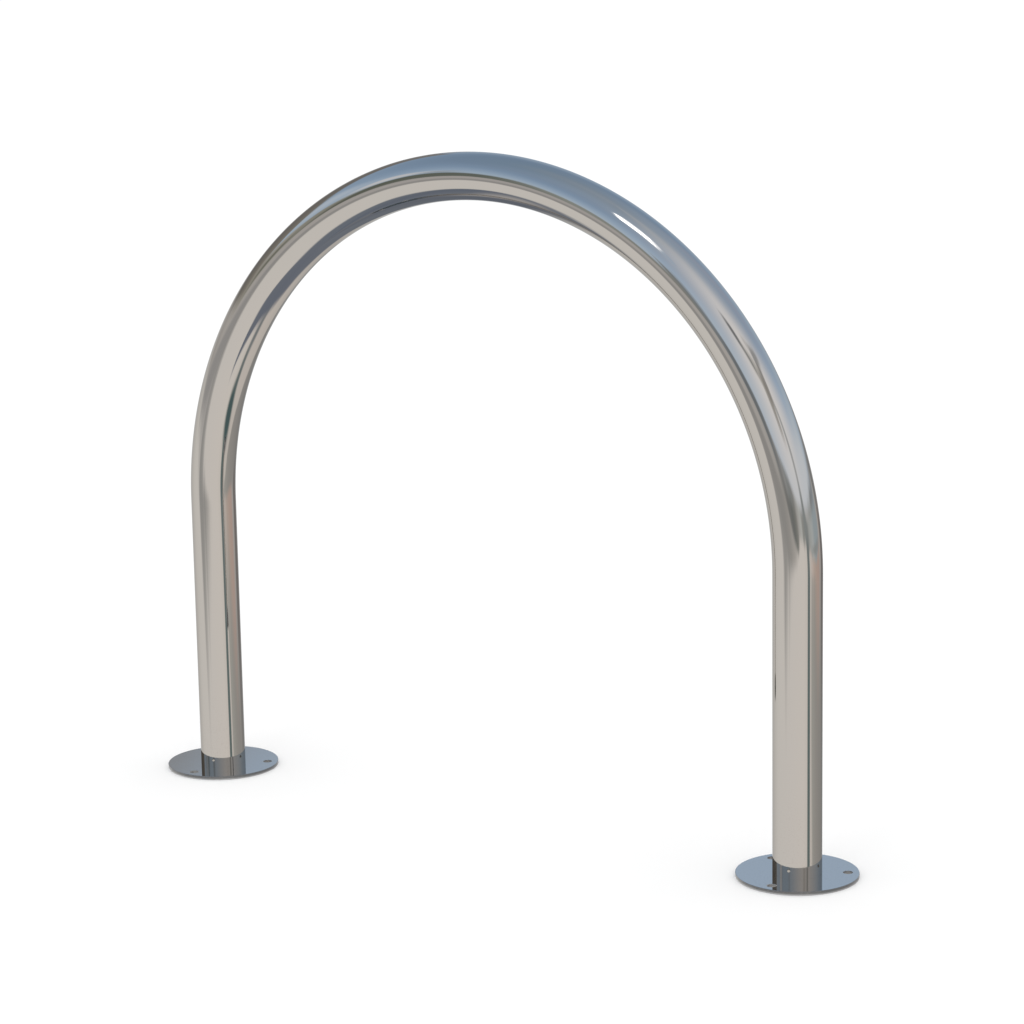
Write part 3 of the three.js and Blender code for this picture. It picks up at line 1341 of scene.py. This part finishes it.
@dataclass(frozen=True)
class Studio:
    """The floor, the lamp, the backdrop and the camera."""

    camera_place: Place = (2.25639, -3.14552, 1.21176)
    camera_turn: float = 35.174  # from looking along +Y, towards -X
    camera_tilt: float = -11.828
    camera_roll: float = -1.015
    lens: float = 109.94
    sensor_width: float = 36.0
    lamp_place: Place = (0.38, -5.2, 7.67)
    lamp_width: float = 1.5
    lamp_height: float = 1.25
    lamp_lean: float = -8.0
    lamp_brightness: float = 3.4
    floor_size: float = 80.0
    floor_gap: float = 0.2 * MILLIMETRE
    floor_tone: float = 0.95
    front_ground: float = 0.8  # how high in the plate the glowing disc stands in a foot's front hole, for a painted reflection of bright ground

    def build(self, aim: Vector, flanges: Sequence[BaseFlange]) -> None:
        """Sets up the studio.

        Args:
            aim: The point that the lamp faces.
            flanges: The flanges that stand on the floor.
        """
        self._camera()
        self._lamp(aim)
        self._floor()
        for flange in flanges:
            self._ground_in_holes(flange)
        world = bpy.data.worlds.new("backdrop")
        bpy.context.scene.world = world
        Backdrop(world).paint()
        view = bpy.context.scene.view_settings
        view.view_transform = "Standard"
        view.look = "None"
        LOG.info("studio: camera, lamp, floor and backdrop")

    def _camera(self) -> None:
        """Sets up the camera."""
        camera = bpy.data.cameras.new("camera")
        camera.lens = self.lens
        camera.sensor_width = self.sensor_width
        camera.clip_end = self.floor_size
        turn = Matrix.Rotation(math.radians(self.camera_turn), 3, "Z")
        tilt = Matrix.Rotation(math.radians(90 + self.camera_tilt), 3, "X")
        roll = Matrix.Rotation(math.radians(self.camera_roll), 3, "Z")
        holder = new_object("camera", camera)
        holder.matrix_world = Matrix.Translation(self.camera_place) @ (turn @ tilt @ roll).to_4x4()
        bpy.context.scene.camera = holder

    def _lamp(self, aim: Vector) -> None:
        """Hangs the one soft lamp, which shows as the bright streak on the arch.

        Args:
            aim: The point that it faces.
        """
        light = bpy.data.lights.new("softbox", "AREA")
        light.shape = "RECTANGLE"
        light.size = self.lamp_width
        light.size_y = self.lamp_height
        light.energy = self.lamp_brightness * math.pi * self.lamp_width * self.lamp_height
        place = Vector(self.lamp_place)
        facing = (aim - place).to_track_quat("-Z", "Y").to_matrix()
        lean = Matrix.Rotation(math.radians(self.lamp_lean), 3, "Z")
        holder = new_object("softbox", light)
        holder.matrix_world = Matrix.Translation(place) @ (facing @ lean).to_4x4()
        holder.visible_camera = False

    def _floor(self) -> None:
        """Lays the pale floor, which the steel doesn't mirror and which is clear from below."""
        half = self.floor_size / 2
        corners = ((-half, -half), (half, -half), (half, half), (-half, half))
        points = [(x, y, -self.floor_gap) for x, y in corners]
        floor, graph = self._stage_piece("floor", "pale_floor", points, [(0, 1, 2, 3)])
        matt = graph.add("ShaderNodeBsdfDiffuse", {"Color": (self.floor_tone,) * 3})
        clear = graph.add("ShaderNodeBsdfTransparent")
        below = graph.add("ShaderNodeNewGeometry")["Backfacing"]
        surface = graph.add("ShaderNodeMixShader", {0: below, 1: matt, 2: clear})
        graph.add("ShaderNodeOutputMaterial", {"Surface": surface})
        floor.visible_glossy = False

    def _ground_in_holes(self, flange: BaseFlange) -> None:
        """Lays glowing discs in a flange's bolt holes, seen only in the steel's reflections: painted light
        that stands in for the lit ground.

        Args:
            flange: The flange whose holes hold the discs.
        """
        points: list[Place] = []
        faces: list[range] = []
        for index, hole in enumerate(flange.hole_centres()):
            spot = arc(hole, flange.hole_diameter / 2, 0, 360, flange.hole_sides)[:-1]
            # The front hole's disc sits up inside the hole, so that the steel shows a painted reflection
            # of bright ground there.
            height = flange.thickness * self.front_ground if index == 0 else -self.floor_gap
            faces.append(range(len(points), len(points) + len(spot)))
            points.extend((x, y, height) for x, y in spot)
        name = f"{flange.side.value}_ground"
        ground, graph = self._stage_piece(name, "mirrored_ground", points, faces)
        # The discs glow in the ground's tone: painted light, not a lamp.
        glow = graph.add("ShaderNodeEmission", {"Color": seen_in_tube(GROUND_GLOW_TONE)})
        graph.add("ShaderNodeOutputMaterial", {"Surface": glow})
        ground.visible_camera = False
        ground.visible_diffuse = False
        ground.visible_shadow = False

    def _stage_piece(
        self, name: str, finish: str, points: Sequence[Place], faces: Sequence[Sequence[int]]
    ) -> tuple[Object, Graph]:
        """Makes a flat piece of the stage.

        Args:
            name: The piece's name.
            finish: Its material's name.
            points: Its corners.
            faces: The corners of each face.

        Returns:
            The piece, and the empty graph of its material.
        """
        mesh = bpy.data.meshes.new(name)
        mesh.from_pydata(points, [], faces)
        material, graph = new_material(finish)
        graph.tree.nodes.clear()
        mesh.materials.append(material)
        return new_object(name, mesh), graph


def main() -> None:
    """Builds the rack and its studio, piece by piece."""
    logging.basicConfig(level=logging.INFO, format="%(name)s: %(message)s")
    tube = HoopTube.from_frame()
    flanges = [BaseFlange.from_frame(side, tube) for side in Side]
    finishes = Finishes()
    tube.build(finishes)
    for flange in flanges:
        flange.build(finishes)
        WeldBead.from_frame(flange.side).build(finishes)
    Studio().build(aim=Vector((0, 0, tube.leg_height + tube.bend_radius)), flanges=flanges)


if __name__ == "__main__":
    main()
